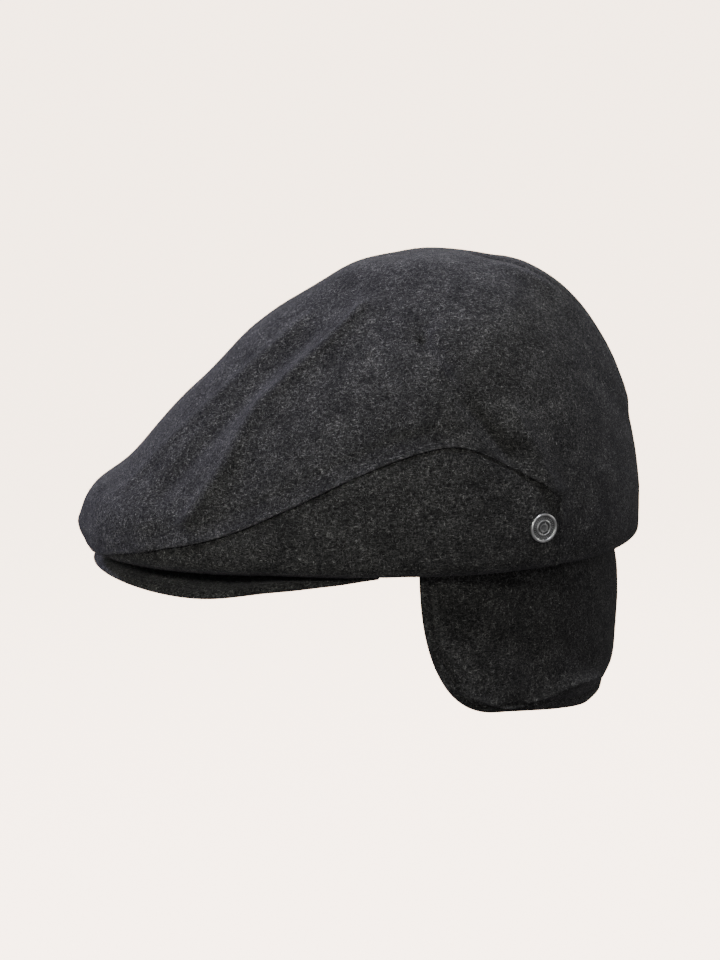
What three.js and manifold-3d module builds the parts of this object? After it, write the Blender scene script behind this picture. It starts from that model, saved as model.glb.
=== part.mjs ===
// A flat cap of felted wool with an ear and neck flap folded down, in millimetres.
// The front is -Y, the wearer's left is +X, and the head opening lies in the plane z = 0 round the origin.
import * as THREE from "three";
import Module from "manifold-3d";

const wasm = await Module();
wasm.setup();

// Crown
const openingLength = 185; // inside, front to back
const openingWidth = 167; // inside, ear to ear
const crownHeight = 137; // from the opening up to the peak
const crownWidth = 188; // at the widest
const noseReach = 161.5; // from the middle of the opening to the nose
const backReach = 105; // from the middle of the opening to the back
const peakBehind = 14; // the peak lies this far behind the middle of the opening
const clothWall = 2.2;
const seamGap = 0.35; // clearance between pieces that are sewn together

// Brim
const brimDepth = 61.5; // how far it stands out from the opening at the front
const brimTurn = 70; // degrees from the front to each of its ends
const brimThickness = 4;
const brimDroop = 6.8; // how far its sides hang below the opening
const brimPoint = 1.9; // how sharply the brim narrows to its ends
const brimFullness = 1.7; // how squarely it runs across the front
const brimEdge = 0.35; // the share of the thickness that is left at the rounded edge
const brimEndThickness = 0.25; // the share of the thickness that is left at the ends

// Ear flap
const flapDepth = 69.5;
const flapTuck = 9; // the sewn strip that reaches up inside the crown
const flapWall = 2.6;
const flapPuff = 1.6; // how far the body of the flap swells past its edge
const flapBand = 9; // the width over which the flap thins to its edge
const flapTurn = 91.4; // degrees from the front to each front edge
const flapLean = 3.5; // how far the lower edge leans in towards the neck
const flapCurl = 3; // how far the edge turns in besides
const flapCurlStart = 0.8; // the share of the depth where that starts
const flapCorner = 25; // degrees that the front edge has moved back at the bottom
const flapCornerSquareness = 2.5; // 2 is an ellipse, and more is squarer

// Badge
const badgeDiameter = 13.5;
const badgeHeight = 1.5;
const badgePost = 3;
const badgeFlange = 7;
const badgeFlangeHeight = 0.8;
const badgeTurn = 118.6; // degrees from the front, round the peak
const badgeRise = 20.7; // height of its middle
const badgeStandOff = 0.45; // clearance between the badge and the cloth

// Shape of the crown round the peak: turn is in degrees from the front, the heights are shares of crownHeight.
// edge is where the cloth is widest and roll where it starts to turn under; hang is how far out it stays before that.
const sections = [
  { turn: 0, edge: 0.11, roll: 0.01, hang: 0.86, dome: 1.9, shoulder: 1.04 },
  { turn: 30, edge: 0.09, roll: 0.01, hang: 0.86, dome: 1.95, shoulder: 1.25 },
  { turn: 60, edge: 0.14, roll: 0.03, hang: 0.8, dome: 2.1, shoulder: 1.7 },
  { turn: 90, edge: 0.19, roll: 0.05, hang: 0.75, dome: 2.3, shoulder: 2.1 },
  { turn: 135, edge: 0.17, roll: 0.04, hang: 0.8, dome: 2.35, shoulder: 2.15 },
  { turn: 180, edge: 0.13, roll: 0.03, hang: 0.85, dome: 2.35, shoulder: 2.15 },
];
const noseSquareness = 2.4; // 2 is an ellipse, and more is squarer
const backSquareness = 2;

// Height of the seam between the top panel and a side panel, as a share of crownHeight.
const sideSeam = [
  { turn: 0, height: 0.02 },
  { turn: 10, height: 0.031 },
  { turn: 22, height: 0.066 },
  { turn: 37, height: 0.13 },
  { turn: 51, height: 0.235 },
  { turn: 65, height: 0.333 },
  { turn: 77, height: 0.395 },
  { turn: 90, height: 0.435 },
  { turn: 98, height: 0.431 },
  { turn: 107, height: 0.383 },
  { turn: 117, height: 0.312 },
  { turn: 124.5, height: 0.25 },
  { turn: 180, height: 0.25 },
];
const seamTurn = 124.5; // where the side seam turns down to the opening

// Folds and dents of the cloth, the same on both sides. A line is a list of turns and heights, the latter
// as shares of crownHeight; lift is a share of clothWall and spread a share of crownWidth.
const folds = [
  {
    name: "front ridge",
    line: [[53, 0.85], [50, 0.79], [43, 0.68], [37, 0.54], [36, 0.37], [33, 0.18]],
    lift: 1.1,
    spread: 0.045,
  },
  { name: "front valley", line: [[25, 0.72], [25, 0.56], [22, 0.44], [21, 0.3]], lift: -0.8, spread: 0.045 },
  { name: "front dip", line: [[0, 0.58], [0, 0.38]], lift: -1.8, spread: 0.14 },
  { name: "brow swell", line: [[0, 0.95], [60, 0.955]], lift: 1.5, spread: 0.1 },
  { name: "nose swell", line: [[0, 0.2], [24, 0.18]], lift: 2, spread: 0.065 },
  {
    name: "temple valley",
    line: [[84, 0.78], [91, 0.68], [98, 0.575], [106, 0.46], [109, 0.4]],
    lift: -0.8,
    spread: 0.04,
  },
  { name: "ear ridge", line: [[113, 0.51], [118, 0.39], [122, 0.28]], lift: 0.8, spread: 0.04 },
  { name: "back lobe", line: [[156, 0.93], [164, 0.78], [167, 0.5]], lift: 0.8, spread: 0.06 },
  { name: "back seam", line: [[180, 0.98], [180, 0.6], [180, 0.04]], lift: -1.3, spread: 0.035 },
];

// Depth of the brim's droop along its outer edge: turn is a share of brimTurn and drop a share of brimDroop.
const brimArch = [
  { turn: 0, drop: 0.28 },
  { turn: 0.17, drop: 0.47 },
  { turn: 0.32, drop: 0.86 },
  { turn: 0.48, drop: 1 },
  { turn: 0.66, drop: 0.42 },
  { turn: 0.87, drop: 0.09 },
  { turn: 1, drop: 0 },
];

// The flap round the head: its depth as a share of flapDepth, and the width of its thin edge as a share of flapBand.
const flapHem = [
  { turn: 0, depth: 0.985, band: 1 },
  { turn: 115, depth: 0.99, band: 1 },
  { turn: 135, depth: 1.03, band: 1.2 },
  { turn: 156, depth: 1.06, band: 2 },
  { turn: 180, depth: 1.01, band: 2.4 },
];

// The badge's face from its middle outwards: radius is a share of its radius, height a share of its height.
const badgeFace = [
  { radius: 0, height: 0.62 },
  { radius: 0.3, height: 0.62 },
  { radius: 0.36, height: 0.8 },
  { radius: 0.44, height: 0.8 },
  { radius: 0.5, height: 0.55 },
  { radius: 0.7, height: 0.55 },
  { radius: 0.8, height: 1 },
  { radius: 0.92, height: 1 },
  { radius: 1, height: 0.7 },
];

// How finely each piece is divided.
const sideColumns = 32;
const backColumns = 24;
const topRows = 13;
const sideRows = 8;
const backRows = 5;
const brimColumns = 36;
const flapColumns = 44;
const badgeSides = 20;
const noseCrowding = 1.25; // more than 1 draws the columns together at the nose

const degrees = Math.PI / 180;
const mix = (from, to, share) => from + (to - from) * share;
const ease = (share) => THREE.MathUtils.smoothstep(share, 0, 1);

// The value of a table's column at a turn, on a smooth curve through its rows that is level at both ends.
function follow(rows, column, turn) {
  const last = rows.length - 1;
  const above = rows.findIndex((row) => row.turn >= turn);
  const low = above < 0 ? last - 1 : Math.max(above - 1, 0);
  const slope = (k) => {
    if (k === 0 || k === last) return 0;
    return (rows[k + 1][column] - rows[k - 1][column]) / (rows[k + 1].turn - rows[k - 1].turn);
  };
  const span = rows[low + 1].turn - rows[low].turn;
  const s = THREE.MathUtils.clamp((turn - rows[low].turn) / span, 0, 1);
  const start = rows[low][column];
  const end = rows[low + 1][column];
  const rise = (slope(low) * (1 - s) - slope(low + 1) * s) * span * s * (1 - s);
  return mix(start, end, ease(s)) + rise;
}

// Distance from the peak's axis to the crown's widest line.
function crownReach(turn) {
  const forward = Math.cos(turn);
  const length = forward > 0 ? noseReach + peakBehind : backReach - peakBehind;
  const squareness = forward > 0 ? noseSquareness : backSquareness;
  const across = Math.abs(Math.sin(turn) / (crownWidth / 2)) ** squareness;
  const along = Math.abs(forward / length) ** squareness;
  return (across + along) ** (-1 / squareness);
}

// Distance from the peak's axis to the edge of the opening.
function openingReach(turn) {
  const across = Math.sin(turn) / (openingWidth / 2);
  const along = Math.cos(turn) / (openingLength / 2);
  const behind = peakBehind / (openingLength / 2);
  const square = across ** 2 + along ** 2;
  const half = behind * along;
  return (half + Math.sqrt(half ** 2 + square * (1 - behind ** 2))) / square;
}

// A point of the crown's smooth form: place 0 is the peak, 1 the widest line and 2 the edge of the opening.
function smoothCrown(turn, place) {
  const around = Math.abs(turn) / degrees;
  const out = crownReach(turn);
  const edge = follow(sections, "edge", around) * crownHeight;
  let reach;
  let height;
  if (place <= 1) {
    const swing = (place * Math.PI) / 2;
    reach = out * Math.sin(swing) ** (2 / follow(sections, "dome", around));
    height = mix(edge, crownHeight, Math.cos(swing) ** (2 / follow(sections, "shoulder", around)));
  } else {
    const rim = openingReach(turn);
    const under = new THREE.CubicBezierCurve(
      new THREE.Vector2(out, edge),
      new THREE.Vector2(out, follow(sections, "roll", around) * crownHeight),
      new THREE.Vector2(mix(rim, out, follow(sections, "hang", around)), 0),
      new THREE.Vector2(rim, 0),
    ).getPoint(place - 1);
    reach = under.x;
    height = under.y;
  }
  return new THREE.Vector3(reach * Math.sin(turn), peakBehind - reach * Math.cos(turn), height);
}

// The place on the crown in a direction where its height is the one given.
function placeAtHeight(turn, height) {
  let above = 0;
  let below = 2;
  for (let k = 0; k < 30; k += 1) {
    const middle = (above + below) / 2;
    if (smoothCrown(turn, middle).z > height) above = middle;
    else below = middle;
  }
  return (above + below) / 2;
}

// The outward direction at a point of a surface given by two values.
function outward(surface, turn, place, lastPlace) {
  const step = 0.004;
  if (place < step) return new THREE.Vector3(0, 0, 1);
  const before = Math.min(place, lastPlace) - step;
  const after = Math.min(place + step, lastPlace);
  const down = surface(turn, after).sub(surface(turn, before));
  const round = surface(turn + step, place).sub(surface(turn - step, place));
  return down.cross(round).normalize();
}

const foldLines = folds.map((fold) => ({
  lift: fold.lift * clothWall,
  spread: fold.spread * crownWidth,
  points: new THREE.CatmullRomCurve3(
    fold.line.map(([turn, height]) => {
      const direction = turn * degrees;
      return smoothCrown(direction, placeAtHeight(direction, height * crownHeight));
    }),
  ).getPoints(12),
}));

// How far the folds lift the cloth at a point of the smooth crown.
function foldLift(point) {
  const near = new THREE.Vector3(Math.abs(point.x), point.y, point.z);
  const nearest = new THREE.Vector3();
  let lift = 0;
  for (const fold of foldLines) {
    let distance = Infinity;
    for (let k = 1; k < fold.points.length; k += 1) {
      new THREE.Line3(fold.points[k - 1], fold.points[k]).closestPointToPoint(near, true, nearest);
      distance = Math.min(distance, nearest.distanceTo(near));
    }
    lift += fold.lift * Math.exp(-((distance / fold.spread) ** 2));
  }
  return lift;
}

function crownOutside(turn, place) {
  const point = smoothCrown(turn, place);
  const level = ease((2 - place) / 0.6); // the cloth lies smooth where it meets the opening
  return point.addScaledVector(outward(smoothCrown, turn, place, 2), foldLift(point) * level);
}

function crownInside(turn, place) {
  const point = crownOutside(turn, place);
  return point.addScaledVector(outward(crownOutside, turn, place, 2), -clothWall);
}

// The net of a sheet of cloth: points on its two faces, and cells that hold the same points on both.
function newSheet() {
  return { outside: [], inside: [], cells: [] };
}

function addPoint(sheet, outside, inside) {
  sheet.outside.push(outside);
  sheet.inside.push(inside);
  return sheet.outside.length - 1;
}

// Cells between two rows of points, the first of which is the higher one.
function addStrip(sheet, upper, lower, closed) {
  const count = closed ? upper.length : upper.length - 1;
  for (let k = 0; k < count; k += 1) {
    const next = (k + 1) % upper.length;
    sheet.cells.push([upper[k], lower[k], lower[next]], [upper[k], lower[next], upper[next]]);
  }
}

// The closed solid of a sheet: both faces, and a wall along every edge that only one cell has.
function sheetSolid(sheet) {
  const offset = sheet.outside.length;
  const corners = [];
  const edges = new Map();
  for (const [a, b, c] of sheet.cells) {
    corners.push(a, b, c, offset + a, offset + c, offset + b);
    for (const [from, to] of [[a, b], [b, c], [c, a]]) edges.set(`${from},${to}`, [from, to]);
  }
  for (const [from, to] of edges.values()) {
    if (edges.has(`${to},${from}`)) continue;
    corners.push(to, from, offset + from, to, offset + from, offset + to);
  }
  const places = [...sheet.outside, ...sheet.inside].flatMap((point) => point.toArray());
  return new wasm.Manifold(
    new wasm.Mesh({
      numProp: 3,
      vertProperties: new Float32Array(places),
      triVerts: new Uint32Array(corners),
    }),
  );
}

// A three.js shape as a solid: its shared points are merged and its empty faces left out.
function shapeSolid(geometry) {
  const positions = geometry.getAttribute("position");
  const index = geometry.index.array;
  const known = new Map();
  const places = [];
  const name = [];
  for (let k = 0; k < positions.count; k += 1) {
    const point = [positions.getX(k), positions.getY(k), positions.getZ(k)];
    const key = point.map((value) => Math.round(value * 1e4)).join();
    if (!known.has(key)) {
      known.set(key, places.length / 3);
      places.push(...point);
    }
    name.push(known.get(key));
  }
  const corners = [];
  for (let k = 0; k < index.length; k += 3) {
    const face = [name[index[k]], name[index[k + 1]], name[index[k + 2]]];
    if (new Set(face).size === 3) corners.push(...face);
  }
  return new wasm.Manifold(
    new wasm.Mesh({
      numProp: 3,
      vertProperties: new Float32Array(places),
      triVerts: new Uint32Array(corners),
    }),
  );
}

function solidGeometry(solid) {
  const mesh = solid.getMesh();
  const geometry = new THREE.BufferGeometry();
  geometry.setAttribute("position", new THREE.BufferAttribute(mesh.vertProperties, 3));
  geometry.setIndex(new THREE.BufferAttribute(mesh.triVerts, 1));
  geometry.computeVertexNormals();
  return geometry;
}

// Directions of the columns from the front to the side seam, closer together at the nose, in radians.
function sideTurns(start, end) {
  const share = (column) => (column / sideColumns) ** noseCrowding;
  return Array.from({ length: sideColumns + 1 }, (_, column) => mix(start, end, share(column)));
}

// The step in place that moves a point of the crown down by a length.
function placeStep(turn, place, length) {
  const step = 0.01;
  return (length * step) / smoothCrown(turn, place).distanceTo(smoothCrown(turn, place + step));
}

const seamPlace = (turn) =>
  placeAtHeight(turn, follow(sideSeam, "height", Math.abs(turn) / degrees) * crownHeight);

// Top panel: from the peak down to the side seams, and at the back all the way down to the opening.
function topPanel() {
  const sheet = newSheet();
  const end = seamTurn * degrees;
  const left = sideTurns(0, end);
  const back = Array.from({ length: backColumns - 1 }, (_, k) =>
    mix(end, 2 * Math.PI - end, (k + 1) / backColumns));
  const right = left.slice(1).reverse().map((turn) => -turn);
  const turns = [...left, ...back.map((turn) => (turn > Math.PI ? turn - 2 * Math.PI : turn)), ...right];
  const addCrown = (turn, place) =>
    addPoint(sheet, crownOutside(turn, place), crownInside(turn, place));
  const peak = addCrown(0, 0);
  let upper = turns.map(() => peak);
  for (let row = 1; row <= topRows; row += 1) {
    const lower = turns.map((turn) => addCrown(turn, (seamPlace(turn) * row) / topRows));
    if (row > 1) addStrip(sheet, upper, lower, true);
    else turns.forEach((_, k) => sheet.cells.push([peak, lower[k], lower[(k + 1) % turns.length]]));
    upper = lower;
  }
  const start = sideColumns;
  const backTurns = turns.slice(start, start + backColumns + 1);
  upper = upper.slice(start, start + backColumns + 1);
  for (let row = 1; row <= backRows; row += 1) {
    const lower = backTurns.map((turn) => addCrown(turn, mix(seamPlace(turn), 2, row / backRows)));
    addStrip(sheet, upper, lower, false);
    upper = lower;
  }
  return sheetSolid(sheet);
}

// Side panel: from the side seam down and under to the opening. side is 1 on the left and -1 on the right.
function sidePanel(side) {
  const sheet = newSheet();
  const inset = seamGap / (crownWidth / 2);
  const turns = sideTurns(seamGap / 2 / noseReach, seamTurn * degrees - inset).map((turn) => side * turn);
  if (side < 0) turns.reverse();
  let upper = null;
  for (let row = 0; row <= sideRows; row += 1) {
    const lower = turns.map((turn) => {
      const seam = seamPlace(turn);
      const place = mix(seam + placeStep(turn, seam, seamGap), 2, row / sideRows);
      return addPoint(sheet, crownOutside(turn, place), crownInside(turn, place));
    });
    if (upper) addStrip(sheet, upper, lower, false);
    upper = lower;
  }
  return sheetSolid(sheet);
}

// Brim: a stiff crescent under the front of the crown, arched across, with a rounded outer edge.
function brim() {
  const sheet = newSheet();
  const rows = [0, 0.2, 0.4, 0.6, 0.78, 0.9, 0.965, 0.99, 1];
  let upper = null;
  const columns = Array.from({ length: brimColumns + 1 }, (_, k) => (2 * k) / brimColumns - 1);
  for (const row of rows) {
    const lower = columns.map((column) => {
      const turn = column * brimTurn * degrees;
      const along = Math.abs(column);
      const start = openingReach(turn);
      const width = clothWall + brimDepth * (1 - along ** brimFullness) ** brimPoint;
      const reach = start + width * row;
      const thickness = brimThickness * mix(1, brimEndThickness, along ** 6);
      const near = Math.min((1 - row) * width, thickness / 2) / (thickness / 2);
      const full = mix(brimEdge, 1, Math.sqrt(1 - (1 - near) ** 2));
      const drop = follow(brimArch, "drop", along) * brimDroop;
      const middle = -seamGap - drop * row - thickness / 2;
      const x = reach * Math.sin(turn);
      const y = peakBehind - reach * Math.cos(turn);
      return addPoint(
        sheet,
        new THREE.Vector3(x, y, middle + (thickness / 2) * full),
        new THREE.Vector3(x, y, middle - (thickness / 2) * full),
      );
    });
    if (upper) addStrip(sheet, upper, lower, false);
    upper = lower;
  }
  return sheetSolid(sheet);
}

// Ear flap: one band from ear to ear round the back, sewn inside the opening, with rounded front corners.
function earFlap() {
  const sheet = newSheet();
  const tuck = -flapTuck / flapDepth;
  const rows = [tuck, tuck / 2, 0, 0.08, 0.2, 0.35, 0.5, 0.64, 0.76, 0.85, 0.91, 0.955, 0.985, 1];
  const halfWidth = openingWidth / 2 - seamGap;
  const halfLength = openingLength / 2 - seamGap;
  const columns = Array.from({ length: flapColumns + 1 }, (_, k) => {
    const share = k / flapColumns;
    return mix(share, (1 - Math.cos(share * Math.PI)) / 2, 0.6);
  });
  let upper = null;
  for (const row of rows) {
    const down = Math.max(row, 0);
    const round = 1 - (1 - down ** flapCornerSquareness) ** (1 / flapCornerSquareness);
    const front = (flapTurn + flapCorner * round) * degrees;
    const lower = columns.map((column) => {
      const turn = mix(front, 2 * Math.PI - front, column);
      const around = Math.min(turn, 2 * Math.PI - turn) / degrees;
      const depth = flapDepth * follow(flapHem, "depth", around);
      const toFront = (Math.min(turn, 2 * Math.PI - turn) - front) * halfWidth;
      const toHem = ((1 - down) * depth) / follow(flapHem, "band", around);
      const toEdge = Math.min(toFront, toHem) / flapBand;
      const puff = flapPuff * ease(toEdge) * ease(down / 0.25);
      const curl = flapCurl * ease((down - flapCurlStart) / (1 - flapCurlStart)) + flapLean * down ** 2;
      const direction = new THREE.Vector3(
        Math.sin(turn) / halfWidth,
        -Math.cos(turn) / halfLength,
        0,
      ).normalize();
      const z = row < 0 ? -row * flapDepth : -row * depth;
      const base = new THREE.Vector3(Math.sin(turn) * halfWidth, -Math.cos(turn) * halfLength, z);
      return addPoint(
        sheet,
        base.clone().addScaledVector(direction, puff - curl),
        base.clone().addScaledVector(direction, -curl - flapWall),
      );
    });
    if (upper) addStrip(sheet, upper, lower, false);
    upper = lower;
  }
  return sheetSolid(sheet);
}

// The badge's place: its middle on the cloth and the direction that it faces.
function badgeSeat() {
  const turn = badgeTurn * degrees;
  const place = placeAtHeight(turn, badgeRise);
  const facing = outward(crownOutside, turn, place, 2);
  return new THREE.Matrix4().compose(
    crownOutside(turn, place),
    new THREE.Quaternion().setFromUnitVectors(new THREE.Vector3(0, 1, 0), facing),
    new THREE.Vector3(1, 1, 1),
  );
}

// Badge: a ringed metal disc outside, a post through the cloth and a plain flange inside.
function badge() {
  const radius = badgeDiameter / 2;
  const flangeTop = -clothWall - badgeStandOff;
  const faceHeight = (share) => badgeStandOff + share * badgeHeight;
  const profile = [
    ...badgeFace.map((step) => new THREE.Vector2(step.radius * radius, faceHeight(step.height))),
    new THREE.Vector2(radius, faceHeight(0)),
    new THREE.Vector2(badgePost / 2, faceHeight(0)),
    new THREE.Vector2(badgePost / 2, flangeTop),
    new THREE.Vector2(badgeFlange / 2, flangeTop),
    new THREE.Vector2(badgeFlange / 2, flangeTop - badgeFlangeHeight),
    new THREE.Vector2(0, flangeTop - badgeFlangeHeight),
  ].reverse();
  return shapeSolid(new THREE.LatheGeometry(profile, badgeSides).applyMatrix4(badgeSeat()));
}

// The hole for the badge's post.
function postHole() {
  const radius = badgePost / 2 + seamGap;
  const hole = new THREE.CylinderGeometry(radius, radius, 6 * clothWall, badgeSides);
  return shapeSolid(hole.applyMatrix4(badgeSeat()));
}

function wool(color) {
  return new THREE.MeshStandardMaterial({ color, roughness: 0.95, metalness: 0, flatShading: true });
}

const cap = new THREE.Group();

function addPiece(name, solid, material) {
  const mesh = new THREE.Mesh(solidGeometry(solid), material);
  mesh.name = name;
  cap.add(mesh);
}

addPiece("top_panel", topPanel(), wool(0x35353a));
addPiece("side_panel_left", sidePanel(1).subtract(postHole()), wool(0x333338));
addPiece("side_panel_right", sidePanel(-1), wool(0x333338));
addPiece("brim", brim(), wool(0x303035));
addPiece("ear_flap", earFlap(), wool(0x2f2f34));
addPiece(
  "badge",
  badge(),
  new THREE.MeshStandardMaterial({ color: 0x6f7074, roughness: 0.4, metalness: 0.9 }),
);

export default cap;
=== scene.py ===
# A flat cap of charcoal wool with an ear and neck flap folded down and a small ringed badge.
# Everything is in metres; the front is -Y, the wearer's left +X, and the head opening lies in z = 0.
import bpy
import math
import numpy as np
from mathutils import Matrix, Vector, noise


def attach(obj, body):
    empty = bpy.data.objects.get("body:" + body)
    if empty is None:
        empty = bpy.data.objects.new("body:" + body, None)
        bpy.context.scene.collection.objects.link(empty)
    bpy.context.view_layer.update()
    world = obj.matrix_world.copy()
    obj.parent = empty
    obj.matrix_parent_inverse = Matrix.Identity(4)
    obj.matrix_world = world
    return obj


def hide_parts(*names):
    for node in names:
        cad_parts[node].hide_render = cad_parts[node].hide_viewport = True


mm = 0.001
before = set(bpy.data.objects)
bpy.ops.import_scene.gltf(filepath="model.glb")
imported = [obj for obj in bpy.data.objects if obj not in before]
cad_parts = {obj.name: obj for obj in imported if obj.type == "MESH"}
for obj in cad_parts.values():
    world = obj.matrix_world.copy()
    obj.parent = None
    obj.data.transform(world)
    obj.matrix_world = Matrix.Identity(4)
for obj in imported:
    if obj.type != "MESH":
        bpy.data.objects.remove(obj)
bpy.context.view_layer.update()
print("frame loaded:", sorted(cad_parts))

crown = {
    "openingLength": 185 * mm,
    "openingWidth": 167 * mm,
    "height": 137 * mm,
    "width": 188 * mm,
    "noseReach": 161.5 * mm,
    "backReach": 105 * mm,
    "peakBehind": 14 * mm,
    "wall": 2.2 * mm,
    "seamGap": 0.35 * mm,
    "noseSquareness": 2.4,
    "backSquareness": 2.0,
    "seamTurn": 124.5,
    # turn in degrees from the front; the rest are shares of the height, or exponents
    "sectionColumns": ("turn", "edge", "roll", "hang", "dome", "shoulder"),
    "sections": [
        (0, 0.11, 0.01, 0.86, 1.9, 1.04),
        (30, 0.09, 0.01, 0.86, 1.95, 1.25),
        (60, 0.14, 0.03, 0.8, 2.1, 1.7),
        (90, 0.19, 0.05, 0.75, 2.3, 2.1),
        (135, 0.17, 0.04, 0.8, 2.35, 2.15),
        (180, 0.13, 0.03, 0.85, 2.35, 2.15),
    ],
    "seamColumns": ("turn", "height"),
    "sideSeam": [
        (0, 0.02), (10, 0.031), (22, 0.066), (37, 0.13), (51, 0.235), (65, 0.333), (77, 0.395),
        (90, 0.435), (98, 0.431), (107, 0.383), (117, 0.312), (124.5, 0.25), (180, 0.25),
    ],
    "backSeam": [(180, 0.99), (180, 0.8), (180, 0.5), (180, 0.2), (180, 0.03)],
    "backGroove": 0.9 * mm,
    "backGrooveWidth": 1.6 * mm,
    "backDip": 2.0 * mm,  # how far the cloth sinks to the back seam near the top
    "backDipWidth": 6 * mm,
    "hemSwell": 1.1 * mm,  # the turned hem round the opening is thicker
    "hemRise": 3.5 * mm,
    "hemWidth": 4.5 * mm,
    "seamFade": 9 * mm,  # where the side seam softens behind its corner
    "rightCreases": 0.7,  # how strong the creases are on the wearer's right
    # finer creases over the folds: the line, lift in mm, spread in mm
    "creases": [
        ([(53, 0.85), (50, 0.79), (43, 0.68), (37, 0.56), (36, 0.37), (32, 0.18)], 1.5, 2.6),
        ([(29, 0.82), (28, 0.75), (25.6, 0.66), (23, 0.56), (19, 0.41), (16.5, 0.26)], 1.4, 3.4),
        ([(84, 0.77), (91, 0.68), (98, 0.575), (106, 0.46), (110, 0.385)], -2.0, 2.8),
        ([(89, 0.79), (95, 0.69), (102, 0.59), (111, 0.46)], 1.8, 5.0),
        ([(112, 0.54), (118, 0.4), (122, 0.275)], 1.4, 3.2),
        ([(146, 0.955), (158, 0.9), (165, 0.82), (169, 0.7), (171, 0.5)], 1.0, 5.0),
        ([(68, 0.72), (74, 0.63), (80, 0.56)], -0.5, 6.0),
        ([(61, 0.5), (70, 0.44), (80, 0.46)], -0.35, 7.0),
        ([(150, 0.62), (160, 0.5), (168, 0.4)], -0.5, 5.0),
        ([(140, 0.3), (155, 0.22), (170, 0.2)], 0.5, 6.0),
        ([(12, 0.3), (10, 0.16), (12, 0.06)], -0.5, 3.5),
    ],
    # each fold: its line as (turn, height share), its lift in walls, its spread as a share of the width
    "folds": [
        ([(53, 0.85), (50, 0.79), (43, 0.68), (37, 0.54), (36, 0.37), (33, 0.18)], 1.1, 0.045),
        ([(37, 0.76), (33, 0.64), (30, 0.5), (27, 0.36), (25, 0.24)], -1.2, 0.035),
        ([(0, 0.58), (0, 0.38)], -1.8, 0.14),
        ([(0, 0.95), (60, 0.955)], 1.5, 0.1),
        ([(0, 0.2), (24, 0.18)], 2.0, 0.065),
        ([(84, 0.78), (91, 0.68), (98, 0.575), (106, 0.46), (109, 0.4)], -0.8, 0.04),
        ([(113, 0.51), (118, 0.39), (122, 0.28)], 0.8, 0.04),
        ([(156, 0.93), (164, 0.78), (167, 0.5)], 0.8, 0.06),
        ([(180, 0.98), (180, 0.6), (180, 0.04)], -1.3, 0.035),
    ],
}


def column(names, rows, name):
    k = names.index(name)
    return np.array([row[0] for row in rows], float), np.array([row[k] for row in rows], float)


def follow(xs, ys, at):
    # a smooth curve through the rows, level at both ends
    slopes = np.zeros(len(xs))
    slopes[1:-1] = (ys[2:] - ys[:-2]) / (xs[2:] - xs[:-2])
    low = np.clip(np.searchsorted(xs, at, side="left") - 1, 0, len(xs) - 2)
    span = xs[low + 1] - xs[low]
    s = np.clip((at - xs[low]) / span, 0, 1)
    rise = (slopes[low] * (1 - s) - slopes[low + 1] * s) * span * s * (1 - s)
    return ys[low] + (ys[low + 1] - ys[low]) * s * s * (3 - 2 * s) + rise


def ease(share):
    s = np.clip(share, 0, 1)
    return s * s * (3 - 2 * s)


def section(name, turn):
    return follow(*column(crown["sectionColumns"], crown["sections"], name), np.degrees(np.abs(turn)))


def crownReach(turn):
    forward = np.cos(turn)
    length = np.where(forward > 0, crown["noseReach"] + crown["peakBehind"],
                      crown["backReach"] - crown["peakBehind"])
    square = np.where(forward > 0, crown["noseSquareness"], crown["backSquareness"])
    across = np.abs(np.sin(turn) / (crown["width"] / 2)) ** square
    return (across + np.abs(forward / length) ** square) ** (-1 / square)


def openingReach(turn):
    across = np.sin(turn) / (crown["openingWidth"] / 2)
    along = np.cos(turn) / (crown["openingLength"] / 2)
    behind = crown["peakBehind"] / (crown["openingLength"] / 2)
    square = across ** 2 + along ** 2
    half = behind * along
    return (half + np.sqrt(half ** 2 + square * (1 - behind ** 2))) / square


def smoothCrown(turn, place):
    # place 0 is the peak, 1 the widest line and 2 the edge of the opening
    out = crownReach(turn)
    edge = section("edge", turn) * crown["height"]
    swing = np.clip(place, 0, 1) * math.pi / 2
    reachUp = out * np.sin(swing) ** (2 / section("dome", turn))
    level = np.maximum(np.cos(swing), 0) ** (2 / section("shoulder", turn))
    heightUp = edge + (crown["height"] - edge) * level
    rim = openingReach(turn)
    s = np.clip(place - 1, 0, 1)
    a, b, c, d = (1 - s) ** 3, 3 * s * (1 - s) ** 2, 3 * s * s * (1 - s), s ** 3
    hang = rim + (out - rim) * section("hang", turn)
    reachDown = a * out + b * out + c * hang + d * rim
    heightDown = a * edge + b * section("roll", turn) * crown["height"]
    upper = place <= 1
    reach = np.where(upper, reachUp, reachDown)
    height = np.where(upper, heightUp, heightDown)
    return np.stack([reach * np.sin(turn), crown["peakBehind"] - reach * np.cos(turn), height], axis=-1)


def placeAtHeight(turn, height):
    above = np.zeros_like(turn)
    below = np.full_like(turn, 2.0)
    for _ in range(30):
        middle = (above + below) / 2
        higher = smoothCrown(turn, middle)[..., 2] > height
        above = np.where(higher, middle, above)
        below = np.where(higher, below, middle)
    return (above + below) / 2


def seamPlace(turn):
    xs, ys = column(crown["seamColumns"], crown["sideSeam"], "height")
    return placeAtHeight(turn, follow(xs, ys, np.degrees(np.abs(turn))) * crown["height"])


def outward(surface, turn, place):
    step = 0.004
    before = np.clip(place, step, 2) - step
    after = np.clip(place + step, 0, 2)
    down = surface(turn, after) - surface(turn, before)
    across = surface(turn + step, np.maximum(place, step)) - surface(turn - step, np.maximum(place, step))
    normal = np.cross(down, across)
    normal /= np.linalg.norm(normal, axis=-1, keepdims=True) + 1e-12
    return np.where((place < step)[..., None], np.array([0.0, 0.0, 1.0]), normal)


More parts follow.
